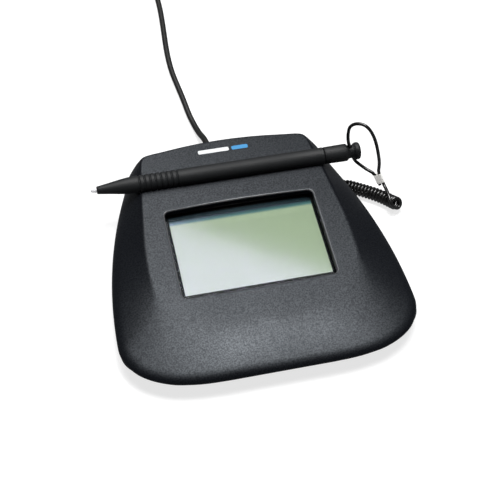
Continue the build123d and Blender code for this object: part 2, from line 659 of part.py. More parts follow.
def make_stylus_grip():
    """Nose cone and ribbed grip in one moulding, with a spigot that enters the barrel."""
    nose = [(NOSE_X, NIB_RADIUS), (NOSE_X, 1.85), (NOSE_X + 0.4, 2.1), (-64.0, 3.25), (-57.0, 4.25)]
    points = nose + [(GRIP_START_X, 4.65)]
    for i in range(RIB_COUNT):
        x = GRIP_START_X + RIB_PITCH * i
        points += [(x + 0.5, 4.65), (x + 0.8, 4.2), (x + 1.4, 4.2), (x + 1.7, 4.65)]
    points += [
        (GRIP_END_X, 4.65),
        (GRIP_END_X, SPIGOT_RADIUS),
        (GRIP_END_X + 8, SPIGOT_RADIUS),
        (GRIP_END_X + 8, CORE_RADIUS),
        (-52.0, CORE_RADIUS),
        (-52.0, 1.4),
        (-62.0, 1.4),
        (-62.0, NIB_RADIUS),
    ]
    return stylus_turning(points)


def make_stylus_core():
    """Inner rod that backs the nib and stiffens the stylus."""
    points = [
        (-61.9, NIB_RADIUS),
        (-61.9, 1.35),
        (-51.9, 1.35),
        (-51.9, CORE_RADIUS - 0.05),
        (CORE_END_X, CORE_RADIUS - 0.05),
        (CORE_END_X, 0),
        (-56.0, 0),
        (-56.0, NIB_RADIUS),
    ]
    return stylus_turning(points)


def make_stylus_nib():
    """Hard plastic writing tip with its shank."""
    points = [
        (NIB_TIP_X, 0),
        (NIB_TIP_X + 0.1, 0.4),
        (NIB_TIP_X + 0.5, 0.75),
        (NOSE_X - 0.03, NIB_CONE_RADIUS),
        (NOSE_X - 0.03, NIB_RADIUS - 0.02),
        (-56.1, NIB_RADIUS - 0.02),
        (-56.1, 0),
    ]
    return stylus_turning(points)


def make_parts():
    """Every node of the model by name."""
    parts = {
        "top_housing": make_top_housing(),
        "bottom_housing": make_bottom_housing(),
        "housing_screws": make_housing_screws(),
        "rubber_feet": make_rubber_feet(),
        "rating_plate": Pos(0, PLATE_Y, FOOT_HEIGHT + 0.3) * Box(*PLATE_SIZE),
    }
    parts.update(make_display_stack())
    parts.update(
        {
            "display_screws": make_display_screws(),
            "main_board": make_main_board(),
            "controller_chips": make_controller_chips(),
            "small_components": make_small_components(),
            "board_screws": make_board_screws(),
            "cord_header": standing_box(CORD_X, 57.3, (10.0, 5.0, 4.0)),
            "display_ribbon": flat_ribbon(20, 16, DISPLAY_RIBBON_YZ),
            "touch_ribbon": flat_ribbon(TOUCH_TAIL_X, TOUCH_TAIL_WIDTH, TOUCH_RIBBON_YZ),
            "cord_gland": make_cord_gland(),
            "cord_wires": make_cord_wires(),
            "usb_cord": make_usb_cord(),
            "usb_cord_coil": make_usb_coil(),
            "usb_cord_tail": cord_tube(TAIL_ROUTE, CORD_DIAMETER, "usb_cord_tail"),
            "cord_tie": make_cord_tie(),
            "usb_plug_grip": make_plug_grip(),
            "usb_plug_shell": make_plug_shell(),
            "usb_plug_tongue": make_plug_tongue(),
            "usb_plug_contacts": make_plug_contacts(),
            "tether_anchor": make_tether_anchor(),
            "tether_coil": cord_tube(COIL_ROUTE, COIL_DIAMETER, "tether_coil"),
            "tether_lead": cord_tube(LEAD_ROUTE, TETHER_DIAMETER, "tether_lead"),
            "tether_loop": cord_tube(LOOP_ROUTE, TETHER_DIAMETER, "tether_loop"),
            "tether_ferrule": make_tether_ferrule(),
            "stylus_cap": make_stylus_cap(),
            "stylus_swivel_pin": make_swivel_pin(),
            "stylus_barrel": make_stylus_barrel(),
            "stylus_grip": make_stylus_grip(),
            "stylus_core": make_stylus_core(),
            "stylus_nib": make_stylus_nib(),
        }
    )
    return parts


os.makedirs("parts", exist_ok=True)
for node, shape in make_parts().items():
    export_step(shape, f"parts/{node}.step")
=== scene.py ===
import json
import math

import bmesh
import bpy
from mathutils import Matrix, Vector


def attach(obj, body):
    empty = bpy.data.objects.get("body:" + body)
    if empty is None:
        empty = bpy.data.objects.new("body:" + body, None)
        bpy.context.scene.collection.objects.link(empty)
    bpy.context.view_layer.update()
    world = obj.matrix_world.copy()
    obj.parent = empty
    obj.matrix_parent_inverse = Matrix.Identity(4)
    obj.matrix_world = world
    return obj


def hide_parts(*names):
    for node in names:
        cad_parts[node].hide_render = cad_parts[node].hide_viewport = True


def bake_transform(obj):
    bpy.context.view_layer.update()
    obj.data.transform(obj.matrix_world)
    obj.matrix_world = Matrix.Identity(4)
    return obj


MM = 0.001

# Camera: angles in degrees, lengths in millimetres
CAMERA_TARGET = (-0.21, -0.39, 15.0)
CAMERA_AZIMUTH = -13.853
CAMERA_ELEVATION = 50.724
CAMERA_ROLL = 1.487
CAMERA_DISTANCE = 600.13
CAMERA_LENS = 83.57

# Cords, in millimetres. The routes are those of the CAD source.
CORD_RADIUS = 1.7
CORD_ROUTE = [
    (-5.5, 83.4, 8.6), (-6.1, 90.6, 7.6), (-7.3, 98.6, 3.6), (-8.6, 107.6, 1.7), (-10.2, 118.0, 1.7),
    (-10.9, 130.0, 1.7), (-12.2, 143.0, 1.7), (-13.6, 158.0, 1.7), (-13.2, 176.0, 1.7),
    (-11.4, 197.0, 1.7), (-9.9, 218.0, 1.7), (-10.2, 239.0, 1.8), (-12.0, 258.0, 2.8),
]
TAIL_ROUTE = [
    (7.0, 285.1, 12.2), (18.5, 286.3, 8.0), (30.4, 286.5, 4.6), (36.6, 283.9, 4.0), (41.4, 279.1, 4.0),
    (44.0, 272.9, 4.0), (44.0, 266.5, 4.0),
]
COIL_CENTRE = (7.0, 261.0)
COIL_STEP = 3.4
COIL_RADII = (13.9, 17.3, 20.7, 24.1)
COIL_LOW_Z = 2.6
COIL_LAYERS = [(2, 1, 0), (0, 1, 2, 3), (3, 2, 1, 0), (1, 2, 3)]
COIL_TURNS = 13.25
COIL_POINTS = 20
COIL_SHIFT_START = 0.7

TETHER_RADIUS = 0.925
TETHER_AXIS = [
    (63.4, 42.9, 3.8), (71.4, 37.9, 3.8), (79.0, 32.6, 3.8), (84.0, 28.0, 3.8), (86.6, 24.4, 4.4),
    (87.3, 21.6, 6.4),
]
TETHER_START = (63.4, 42.9, 6.0)
TETHER_HELIX_RADIUS = 2.875
TETHER_START_SHARE = 0.75
TETHER_TURNS = 16.5
TETHER_POINTS = 14
LEAD_ROUTE = [
    (84.7, 20.2, 5.7), (83.2, 21.2, 8.5), (83.2, 24.6, 9.9), (83.3, 28.8, 9.9), (83.19, 34.54, 9.2),
    (81.3, 36.29, 13.72),
]
LOOP_ROUTE = [
    (81.17, 34.96, 8.88), (78.3, 37.62, 15.75), (75.0, 41.5, 15.5), (71.6, 44.4, 17.3), (68.6, 47.0, 19.2),
    (65.56, 49.66, 29.8), (65.0, 50.2, 34.2), (64.95, 50.2, 38.4), (65.2, 50.0, 41.7), (66.7, 48.8, 44.9),
    (69.2, 46.7, 46.9), (71.7, 44.5, 47.3), (74.0, 42.5, 45.6), (76.2, 40.6, 41.4), (77.8, 39.1, 36.0),
    (78.9, 38.0, 30.4), (79.9, 37.7, 25.3), (80.3, 37.7, 20.8), (80.14, 37.37, 16.5), (81.3, 36.29, 13.72),
]

# Upper housing, in millimetres: outlines of the right half, seen from above
TILT = math.radians(4.0)
PLATEAU_Z = 19.3
WINDOW_Y = 1.5
RIM_Z = 11.0
PARTING_Z = 8.6
SHELL_WALL = 2.2
RIM_FRONT = [
    (0.0, -72.4), (9.0, -72.4), (18.0, -72.4), (28.0, -72.35), (39.5, -71.7), (50.0, -70.1), (56.5, -68.0),
    (62.2, -65.2), (66.9, -61.9), (70.4, -58.2), (73.6, -52.8), (75.4, -47.9), (75.9, -42.9),
]
WAIST_RADIUS = 271.6
WAIST_Y = (-31.5, -20.0, -10.0, 0.0, 10.0, 20.0, 30.0, 40.0, 48.0, 56.0)
RIM_REAR = [(54.3, 64.6), (51.6, 67.9), (47.0, 69.6), (36.0, 70.85), (24.0, 71.7), (12.0, 72.22), (0.0, 72.4)]
CREASE_HALF = [
    (0.0, -44.9), (10.0, -44.75), (20.0, -44.3), (28.5, -43.3), (36.0, -41.6), (42.6, -38.3), (47.6, -33.4),
    (51.4, -25.6), (53.3, -15.0), (53.75, -3.0), (53.3, 10.0), (52.1, 22.0), (50.5, 36.0), (48.4, 50.0),
    (46.9, 60.5), (45.6, 66.0), (42.6, 68.5), (33.0, 69.9), (22.0, 71.3), (11.0, 72.1), (0.0, 72.4),
]
WINDOW_HALF_SIZE = (40.0, 27.5)
WINDOW_CORNER = 3.0
WINDOW_BOW = 1.0
WINDOW_ROUND = 1.1
# Painted highlight on the window's rounding: how far from the middle it reaches, and between which depths it
# lies
WINDOW_HIGHLIGHT_REACH = (43.0, 31.0)
WINDOW_HIGHLIGHT_TOP = 0.02
WINDOW_HIGHLIGHT_SHARE = 0.75
WELL_DEPTH = 3.38
WELL_MIDDLE = 2.1
RAYS = 600

# One radial section of the upper housing, in millimetres
PLATEAU_STEPS = (0.04, 0.2, 0.4, 0.6, 0.8, 0.96, 1.0)
CREASE_SOFT = 1.1
CREASE_SHARE = 0.4
RIM_ROUND = 6.5
RIM_SHARE = 0.42
RIM_DROP = 1.9
RIM_RISE = 0.4
RIM_SWELL = 0.35
PARTING_BEVEL = 0.2
INNER_RISE = 0.8
INNER_RIM_INSET = 1.2
INNER_CREASE_INSET = 2.6
INNER_HEAD_REACH = 7.0
INNER_PAD_REACH = 5.5

# Where that section is softer or swells: by how much, at which angle in degrees, and over how many degrees
CORNER_SOFT = (7.5, -40, 24)
FRONT_SOFT = (1.0, -90, 40)
REAR_CROWN = (1.7, 53, 22)
FRONT_CROWN = (0.7, -70, 60)

# Stylus, along X
STYLUS_Y = 48.5
STYLUS_Z = 24.3
GROOVE_RADIUS = 5.0
GROOVE_HALF_LENGTH = 70.0
LIP_RADIUS = 0.35
LIP_DEGREES = 24
LIP_SLACK = 0.05
LIP_LOWEST_Z = 12
LATHE_SIDES = 96
GRIP_RADIUS = 4.65
NOSE = [
    (-72.2, 0.95), (-72.2, 1.8), (-72.12, 1.98), (-71.9, 2.08), (-70.0, 2.33), (-67.0, 2.78), (-64.0, 3.24),
    (-61.0, 3.72), (-58.5, 4.08), (-56.0, 4.36), (-53.5, 4.55), (-51.0, GRIP_RADIUS),
]
RIB_START_X = -49.5
RIB_PITCH = 2.9
RIB_COUNT = 8
RIB_DEPTH = 0.5
RIB_GROOVE = 1.5
RIB_STEPS = 6
GRIP_BACK = [
    (-26.5, GRIP_RADIUS), (-26.5, 3.15), (-18.5, 3.15), (-18.5, 2.62), (-52.0, 2.62), (-52.0, 1.4),
    (-62.0, 1.4), (-62.0, 0.95),
]
CAP = [
    (60.0, 1.55), (51.7, 1.55), (51.7, 4.3), (51.78, 4.5), (51.95, 4.62), (55.0, 4.68), (60.0, 4.76),
    (63.4, 4.8), (64.1, 4.76), (64.55, 4.55), (64.85, 4.2), (65.2, 3.85), (65.8, 3.6), (66.7, 3.52),
    (67.6, 3.58), (68.2, 3.8), (68.6, 4.12), (68.95, 4.45), (69.35, 4.66), (69.9, 4.75), (70.6, 4.74),
    (71.15, 4.62), (71.55, 4.32), (71.76, 3.9), (71.8, 3.4),
]
CAP_HOLE_RADIUS = 1.43
GLAND_X = -5.5
GLAND_HOLE_RADIUS = 3.0

# Display: a dark band along its far side, partly the panel's own border and partly painted shade of the
# window's far wall: where it starts, turns dark and is darkest, in millimetres along its plane
LCD_SHADE_Y = (24.2, 25.6, 27.6)
LCD_CELLS = ((0.62, 0.72, 0.50), (0.59, 0.69, 0.475))
LCD_BORDER_AND_SHADE_BAND = (0.1, 0.27, 0.28)
LCD_FAR_BORDER_AND_SHADE = (0.006, 0.03, 0.045)
LCD_MIRROR = (0.72, 0.52, 0.98, 1.0)

# Printed marks on the strip behind the stylus, along the tilted surface
MARK_LIFT = 0.01
MARK_THICKNESS = 0.05
MARK_CORNER_SHARE = 0.6
MARK_Y = 65.0
WHITE_BAR = {"start": -14.6, "size": (17.0, 2.6)}
BLUE_BAR = {"start": 4.0, "size": (9.0, 2.6)}

# How far a noise texture's value runs
NOISE_SPAN = (0.3, 0.7)

# Lights and floor: places and sizes in metres, and how strongly each shines
FLOOR_SIZE = 6.0
KEY_PLACE = (0.033, 0.330, 1.014)
KEY_SIZE = (0.9, 0.6)
KEY_TURN = -32.6
KEY_RADIANCE = 6.4
BACK_PLACE = (-0.05, 0.88, 1.014)
BACK_SIZE = (0.35, 0.2)
BACK_RADIANCE = 7.0
CENTRE_PLACE = (0.13, 0.2, 1.0)
CENTRE_SIZE = (0.42, 0.26)
CENTRE_RADIANCE = 17.0
ROOM_ABOVE = 0.05
ROOM_BELOW = 0.22
ROOM_HORIZON = 0.1
FLOOR_GLOW = 0.75


def metres(point):
    """Vector in metres from a point in millimetres."""
    return Vector(point) * MM


def smooth(t):
    """Eases from 0 to 1 as t does."""
    t = min(max(t, 0.0), 1.0)
    return t * t * (3 - 2 * t)


def link(name, data):
    """New object in the scene."""
    made = bpy.data.objects.new(name, data)
    bpy.context.collection.objects.link(made)
    return made


def make_camera():
    """Camera that looks at the pad from the front left and above."""
    azimuth, elevation, roll = (math.radians(a) for a in (CAMERA_AZIMUTH, CAMERA_ELEVATION, CAMERA_ROLL))
    level = math.cos(elevation)
    back = Vector((math.sin(azimuth) * level, -math.cos(azimuth) * level, math.sin(elevation)))
    right = (-back).cross(Vector((0, 0, 1))).normalized()
    up = right.cross(-back)
    turned_right = right * math.cos(roll) + up * math.sin(roll)
    turned_up = up * math.cos(roll) - right * math.sin(roll)
    camera = link("camera", bpy.data.cameras.new("camera"))
    camera.data.sensor_width = 36.0
    camera.data.lens = CAMERA_LENS
    camera.data.clip_start = 0.01
    place = metres(CAMERA_TARGET) + back * CAMERA_DISTANCE * MM
    columns = (turned_right, turned_up, back, place)
    camera.matrix_world = Matrix([[c[i] for c in columns] for i in range(3)] + [[0, 0, 0, 1]])
    bpy.context.scene.camera = camera


def cord_curve(name, points, radius, resolution):
    """Smooth cord whose route's points, in millimetres, are its control points.

    The bevel is one metre and each point's radius scales it, which keeps the curve's bounds to its own size.
    """
    data = bpy.data.curves.new(name, "CURVE")
    data.dimensions = "3D"
    data.bevel_depth = 1.0
    data.bevel_resolution = 4
    data.resolution_u = resolution
    data.use_fill_caps = True
    spline = data.splines.new("NURBS")
    spline.points.add(len(points) - 1)
    for control, place in zip(spline.points, points):
        control.co = (*metres(place), 1.0)
        control.radius = radius * MM
    spline.use_endpoint_u = True
    spline.order_u = 3
    return link(name, data)


def mesh_of(curve):
    """Mesh of a curve as it stands."""
    depsgraph = bpy.context.evaluated_depsgraph_get()
    return bpy.data.meshes.new_from_object(curve.evaluated_get(depsgraph))


def line_of(curve):
    """Points of a curve's own line."""
    depth = curve.data.bevel_depth
    curve.data.bevel_depth = 0
    line = mesh_of(curve)
    curve.data.bevel_depth = depth
    return [v.co.copy() for v in line.vertices]


def path_length(points):
    """Length of a line through points."""
    return sum((b - a).length for a, b in zip(points, points[1:]))


def coil_points():
    """Turns of the stored cord, clockwise in layers, each turn a cord's width from its neighbours."""
    slots = []
    for layer, row in enumerate(COIL_LAYERS):
        slots += [(COIL_RADII[i], COIL_LOW_Z + COIL_STEP * layer) for i in row]
    points = []
    for i in range(1, int(COIL_TURNS * COIL_POINTS)):
        turn, part = divmod(i / COIL_POINTS, 1)
        here = slots[int(turn)]
        after = slots[min(int(turn) + 1, len(slots) - 1)]
        shift = smooth((part - COIL_SHIFT_START) / (1 - COIL_SHIFT_START))
        radius = (here[0] + (after[0] - here[0]) * shift) / math.cos(math.pi / COIL_POINTS)
        z = here[1] + (after[1] - here[1]) * shift
        angle = math.pi - math.tau * (turn + part)
        x = COIL_CENTRE[0] + radius * math.cos(angle)
        y = COIL_CENTRE[1] + radius * math.sin(angle)
        points.append((x, y, z))
    return points


def make_usb_cord():
    """The whole USB cord, from the gland over its stored coil to the plug."""
    cord = cord_curve("usb_cord_whole", CORD_ROUTE + coil_points() + TAIL_ROUTE, CORD_RADIUS, 3)
    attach(cord, "base")
    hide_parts("usb_cord", "usb_cord_coil", "usb_cord_tail")
    return cord


def helix_points():
    """Turns of the curly tether about its axis, at full width after the first quarter turn."""
    axis = cord_curve("tether_axis", TETHER_AXIS, 0, 12)
    line = [p / MM for p in line_of(axis)]
    bpy.data.objects.remove(axis)
    count = round(TETHER_TURNS * TETHER_POINTS)
    lengths = [0.0]
    for a, b in zip(line, line[1:]):
        lengths.append(lengths[-1] + (b - a).length)
    points = []
    for i in range(1, count + 1):
        run = TETHER_RADIUS + (lengths[-1] - TETHER_RADIUS * 2) * i / count
        k = max(j for j in range(len(line) - 1) if lengths[j] <= run)
        part = (run - lengths[k]) / (lengths[k + 1] - lengths[k])
        centre = line[k].lerp(line[k + 1], part)
        along = (line[k + 1] - line[k]).normalized()
        side = Vector((0, 0, 1)).cross(along).normalized()
        over = along.cross(side)
        radius = TETHER_HELIX_RADIUS / math.cos(math.pi / TETHER_POINTS)
        radius *= TETHER_START_SHARE + (1 - TETHER_START_SHARE) * smooth(4 * i / TETHER_POINTS)
        angle = math.tau * i / TETHER_POINTS
        points.append(centre + radius * (over * math.cos(angle) + side * math.sin(angle)))
    return points


def make_tether():
    """Curly tether from the side wall to the ferrule, and the loop through the stylus's cap."""
    curve = cord_curve("tether_guide", [TETHER_START] + helix_points() + LEAD_ROUTE, TETHER_RADIUS, 3)
    path = line_of(curve)
    tether = link("tether_curly_cord", mesh_of(curve))
    bpy.data.objects.remove(curve)
    for face in tether.data.polygons:
        face.use_smooth = True
    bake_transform(tether)
    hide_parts("tether_coil", "tether_lead")
    loop = cord_curve("tether_loop_cord", LOOP_ROUTE, TETHER_RADIUS, 10)
    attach(loop, "stylus_end")
    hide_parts("tether_loop")
    path_length(line_of(loop))
    return tether, loop


def link_mesh(name, vertices, faces):
    """New object from vertices in metres and faces."""
    data = bpy.data.meshes.new(name)
    data.from_pydata(vertices, [], faces)
    data.update()
    return link(name, data)


def shade(obj, degrees):
    """Smooth shading, with edges sharper than the angle left sharp."""
    obj.data.polygons.foreach_set("use_smooth", [True] * len(obj.data.polygons))
    obj.data.set_sharp_from_angle(angle=math.radians(degrees))


def smooth_line(points, steps):
    """Closed smooth line through points, as a denser list."""
    line = []
    count = len(points)
    for i in range(count):
        a, b, c, d = (Vector(points[(i + k) % count]) for k in (-1, 0, 1, 2))
        for k in range(steps):
            t = k / steps
            last = (3 * b - a - 3 * c + d) * t**3
            line.append(0.5 * (2 * b + (c - a) * t + (2 * a - 5 * b + 4 * c - d) * t**2 + last))
    return line


def whole_outline(half):
    """Closed outline from the points of its right half, front middle first."""
    return smooth_line(half + [(-x, y) for x, y in reversed(half[1:-1])], 8)


def rim_half():
    """Right half of the rim's outline, front middle first, with its waist as an arc from the widest point."""
    widest_x, widest_y = RIM_FRONT[-1]
    waist = []
    for y in WAIST_Y:
        reach = math.sqrt(WAIST_RADIUS**2 - (y - widest_y) ** 2)
        waist.append((widest_x - WAIST_RADIUS + reach, y))
    return RIM_FRONT + waist + RIM_REAR


def window_outline():
    """The window's edge: rounded corners, and a far side that bows a little."""
    half_x, half_y = WINDOW_HALF_SIZE
    half_y *= math.cos(TILT)
    points = []
    for sign_x, sign_y, start in ((1, -1, -90), (1, 1, 0), (-1, 1, 90), (-1, -1, 180)):
        corner_x = sign_x * (half_x - WINDOW_CORNER)
        corner_y = sign_y * (half_y - WINDOW_CORNER)
        for i in range(13):
            angle = math.radians(start + 90 * i / 12)
            x = corner_x + WINDOW_CORNER * math.cos(angle)
            points.append((x, corner_y + WINDOW_CORNER * math.sin(angle)))
        if start == 0:
            flat = half_x - WINDOW_CORNER
            for i in range(1, 40):
                x = flat * (1 - i / 20)
                points.append((x, half_y + WINDOW_BOW * (1 - (x / flat) ** 2)))
    line = []
    for a, b in zip(points, points[1:] + points[:1]):
        pieces = max(1, int(math.dist(a, b)))
        for i in range(pieces):
            line.append((a[0] + (b[0] - a[0]) * i / pieces, a[1] + (b[1] - a[1]) * i / pieces))
    return [(x, y + WINDOW_Y) for x, y in line]


def radius_along(outline, angles):
    """Distance from the window's middle to an outline, along each angle."""
    polar = sorted((math.atan2(y - WINDOW_Y, x) % math.tau, math.hypot(x, y - WINDOW_Y)) for x, y in outline)
    polar = [(polar[-1][0] - math.tau, polar[-1][1])] + polar + [(polar[0][0] + math.tau, polar[0][1])]
    found, k = [], 0
    for angle in angles:
        while polar[k + 1][0] < angle:
            k += 1
        (a0, r0), (a1, r1) = polar[k], polar[k + 1]
        found.append(r0 + (r1 - r0) * (angle - a0) / (a1 - a0))
    return found


def plateau_z(y):
    """Height of the plateau's surface."""
    return PLATEAU_Z + (y - WINDOW_Y) * math.tan(TILT)


def bend(a, b, c, count):
    """Points of a rounded corner from a to c that turns at b, without its first point."""
    steps = [i / count for i in range(1, count + 1)]
    return [a * (1 - t) ** 2 + b * 2 * t * (1 - t) + c * t * t for t in steps]


def swell(angle, amount, middle, width):
    """Amount where an angle in degrees is at middle on either side of the pad, falling to 0 over width."""
    angle = (angle + 180) % 360 - 180
    if abs(angle) > 90:
        angle = math.copysign(180, angle) - angle
    return amount * smooth(1 - abs(angle - middle) / width)


def below_plateau(across, r, depth):
    """Point of a section at distance r from the window's middle, depth below the plateau's surface."""
    place = across * r + Vector((0, WINDOW_Y, 0))
    place.z = plateau_z(place.y)
    return place + depth * Vector((0, math.sin(TILT), -math.cos(TILT)))


def plateau_section(across, window_r, end_r):
    """The well's wall, the window's rounded edge, and the plateau as far as end_r."""
    start_r = window_r + WINDOW_ROUND
    wall = [below_plateau(across, window_r, depth) for depth in (WELL_DEPTH, WELL_MIDDLE, WINDOW_ROUND)]
    corner = bend(wall[-1], below_plateau(across, window_r, 0), below_plateau(across, start_r, 0), 6)
    return wall + corner + [below_plateau(across, start_r + (end_r - start_r) * t, 0) for t in PLATEAU_STEPS]


def slope_section(across, degrees, crease_r, rim, soft):
    """The rounded crease, the crowned slope, and the rounded rim down to the parting line."""
    crease = below_plateau(across, crease_r, 0)
    fall = rim - crease
    out = Vector((-across.x * fall.z, -across.y * fall.z, fall.dot(across))).normalized()
    crown = swell(degrees, *REAR_CROWN) + swell(degrees, *FRONT_CROWN)

    def on_slope(t):
        return crease + fall * t + out * (crown * 4 * t * (1 - t))

    start = min(soft / fall.length, CREASE_SHARE)
    end = 1 - min(RIM_ROUND / fall.length, RIM_SHARE)
    points = bend(below_plateau(across, crease_r - soft, 0), crease, on_slope(start), 7)
    points += [on_slope(start + (end - start) * i / 8) for i in range(1, 9)]
    turn = rim + out * crown * RIM_SWELL
    turn.z = min(turn.z, RIM_Z + RIM_RISE)
    rounding = bend(on_slope(end), turn, rim - Vector((0, 0, RIM_DROP)), 10)
    for p in rounding:
        beyond = (p - rim).dot(across)
        if beyond > 0:
            p -= across * beyond
    wall_foot = rim - Vector((0, 0, RIM_Z - PARTING_Z - PARTING_BEVEL))
    bevel_foot = rim - across * PARTING_BEVEL - Vector((0, 0, RIM_Z - PARTING_Z))
    return points + rounding + [wall_foot, bevel_foot]


def inner_section(across, window_r, crease_r, rim):
    """The shell's inside, from the parting line up and under the stylus's groove to the well's foot."""
    foot = rim - across * SHELL_WALL - Vector((0, 0, RIM_Z - PARTING_Z))
    slope_foot = rim - across * (SHELL_WALL + INNER_RIM_INSET) - Vector((0, 0, RIM_DROP))
    start_r = crease_r - INNER_CREASE_INSET
    slope_head = below_plateau(across, max(start_r, window_r + INNER_HEAD_REACH), SHELL_WALL)
    pad_r = window_r + INNER_PAD_REACH
    roof = [slope_foot.lerp(slope_head, i / 8) for i in range(9)]
    roof += [below_plateau(across, start_r + (pad_r - start_r) * i / 24, SHELL_WALL) for i in range(1, 25)]
    clear = GROOVE_RADIUS + SHELL_WALL
    for p in roof:
        if abs(p.y - STYLUS_Y) < clear:
            p.z = min(p.z, STYLUS_Z - math.sqrt(clear**2 - (p.y - STYLUS_Y) ** 2))
    return [foot, foot + Vector((0, 0, INNER_RISE))] + roof + [below_plateau(across, pad_r, WELL_DEPTH)]


def housing_section(angle, window_r, crease_r, rim_r):
    """One radial section of the upper housing, from the well's foot over the rim and back inside."""
    across = Vector((math.cos(angle), math.sin(angle), 0))
    degrees = math.degrees(angle)
    soft = CREASE_SOFT + swell(degrees, *CORNER_SOFT) + swell(degrees, *FRONT_SOFT)
    rim = across * rim_r + Vector((0, WINDOW_Y, RIM_Z))
    plateau = plateau_section(across, window_r, crease_r - soft)
    slope = slope_section(across, degrees, crease_r, rim, soft)
    return plateau + slope + inner_section(across, window_r, crease_r, rim)


def housing_shell():
    """Upper housing as one closed skin of radial sections."""
    angles = [math.tau * i / RAYS for i in range(RAYS)]
    outlines = (window_outline(), whole_outline(CREASE_HALF), whole_outline(rim_half()))
    radii = [radius_along(outline, angles) for outline in outlines]
    sections = [housing_section(*row) for row in zip(angles, *radii)]
    rings = len(sections[0])
    vertices = [p * MM for section in sections for p in section]
    faces = []
    for i in range(RAYS):
        for k in range(rings):
            a, b = i * rings, (i + 1) % RAYS * rings
            faces.append((a + k, b + k, b + (k + 1) % rings, a + (k + 1) % rings))
    return link_mesh("housing_upper", vertices, faces)


def cylinder(radius, start, end, sides):
    """Round cutter between two points, in millimetres."""
    axis = metres(end) - metres(start)
    turn = axis.to_track_quat("Z", "Y").to_matrix()
    vertices = []
    for place in (metres(start), metres(end)):
        for i in range(sides):
            angle = math.tau * i / sides
            vertices.append(place + turn @ Vector((math.cos(angle), math.sin(angle), 0)) * radius * MM)
    faces = [tuple(reversed(range(sides))), tuple(range(sides, 2 * sides))]
    faces += [(i, (i + 1) % sides, sides + (i + 1) % sides, sides + i) for i in range(sides)]
    return link_mesh("cutter", vertices, faces)


def cut(obj, cutter):
    """Takes the cutter's volume out of a mesh."""
    modifier = obj.modifiers.new("cut", "BOOLEAN")
    modifier.object = cutter
    modifier.operation = "DIFFERENCE"
    modifier.solver = "EXACT"
    depsgraph = bpy.context.evaluated_depsgraph_get()
    data = bpy.data.meshes.new_from_object(obj.evaluated_get(depsgraph))
    obj.modifiers.clear()
    obj.data = data
    bpy.data.objects.remove(cutter)


def round_groove_lips(obj):
    """Small radius where the stylus's groove meets the plateau."""
    shape = bmesh.new()
    shape.from_mesh(obj.data)
    lips = []
    for edge in shape.edges:
        if len(edge.link_faces) != 2 or edge.calc_face_angle() < math.radians(LIP_DEGREES):
            continue
        ends = [math.hypot(v.co.y / MM - STYLUS_Y, v.co.z / MM - STYLUS_Z) for v in edge.verts]
        lowest = min(v.co.z / MM for v in edge.verts)
        if max(abs(r - GROOVE_RADIUS) for r in ends) < LIP_SLACK and lowest > LIP_LOWEST_Z:
            lips.append(edge)
    bmesh.ops.bevel(
        shape, geom=lips, offset=LIP_RADIUS * MM, segments=3, profile=0.5, affect="EDGES", clamp_overlap=True
    )
    shape.to_mesh(obj.data)
    shape.free()


def make_upper_housing():
    """The upper housing's visible skin, with the stylus's groove and the cord's opening."""
    housing = housing_shell()
    cut(housing, cylinder(GROOVE_RADIUS, (-GROOVE_HALF_LENGTH, STYLUS_Y, STYLUS_Z),
                          (GROOVE_HALF_LENGTH, STYLUS_Y, STYLUS_Z), 128))
    cut(housing, cylinder(GLAND_HOLE_RADIUS, (GLAND_X, 60.0, PARTING_Z), (GLAND_X, 80.0, PARTING_Z), 64))
    round_groove_lips(housing)
    shade(housing, 40)
    level = housing.modifiers.new("level_normals", "WEIGHTED_NORMAL")
    level.keep_sharp = True
    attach(housing, "base")
    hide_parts("top_housing")
    return housing


def turned(name, profile, closed):
    """Turned piece about the stylus's axis from (x, radius) points; an open profile gets flat ends."""
    vertices, faces = [], []
    for x, radius in profile:
        for i in range(LATHE_SIDES):
            angle = math.tau * i / LATHE_SIDES
            y, z = STYLUS_Y + radius * math.cos(angle), STYLUS_Z + radius * math.sin(angle)
            vertices.append(metres((x, y, z)))
    rings = len(profile)
    for k in range(rings if closed else rings - 1):
        a, b = k * LATHE_SIDES, (k + 1) % rings * LATHE_SIDES
        for i in range(LATHE_SIDES):
            after = (i + 1) % LATHE_SIDES
            faces.append((a + i, b + i, b + after, a + after))
    if not closed:
        faces.append(tuple(range(LATHE_SIDES)))
        faces.append(tuple(reversed(range((rings - 1) * LATHE_SIDES, rings * LATHE_SIDES))))
    piece = link_mesh(name, vertices, faces)
    outward = bmesh.new()
    outward.from_mesh(piece.data)
    bmesh.ops.recalc_face_normals(outward, faces=outward.faces)
    outward.to_mesh(piece.data)
    outward.free()
    return piece


def make_grip():
    """Nose cone and grip with soft rounded ribs."""
    profile = list(NOSE)
    for i in range(RIB_COUNT):
        for k in range(-RIB_STEPS, RIB_STEPS + 1):
            reach = k / RIB_STEPS
            radius = GRIP_RADIUS - RIB_DEPTH * (0.5 + 0.5 * math.cos(math.pi * reach))
            profile.append((RIB_START_X + RIB_PITCH * i + reach * RIB_GROOVE / 2, radius))
    grip = turned("stylus_grip_ribbed", profile + GRIP_BACK, True)
    shade(grip, 50)
    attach(grip, "stylus")
    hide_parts("stylus_grip")
    return grip


def make_cap():
    """End cap with a waisted neck that the tether's loop passes through."""
    cap = turned("stylus_cap_waisted", CAP, False)
    low, high = Vector(LOOP_ROUTE[4]), Vector(LOOP_ROUTE[5])
    cut(cap, cylinder(CAP_HOLE_RADIUS, low, high, 48))
    shade(cap, 40)
    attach(cap, "stylus_end")
    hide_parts("stylus_cap")
    return cap


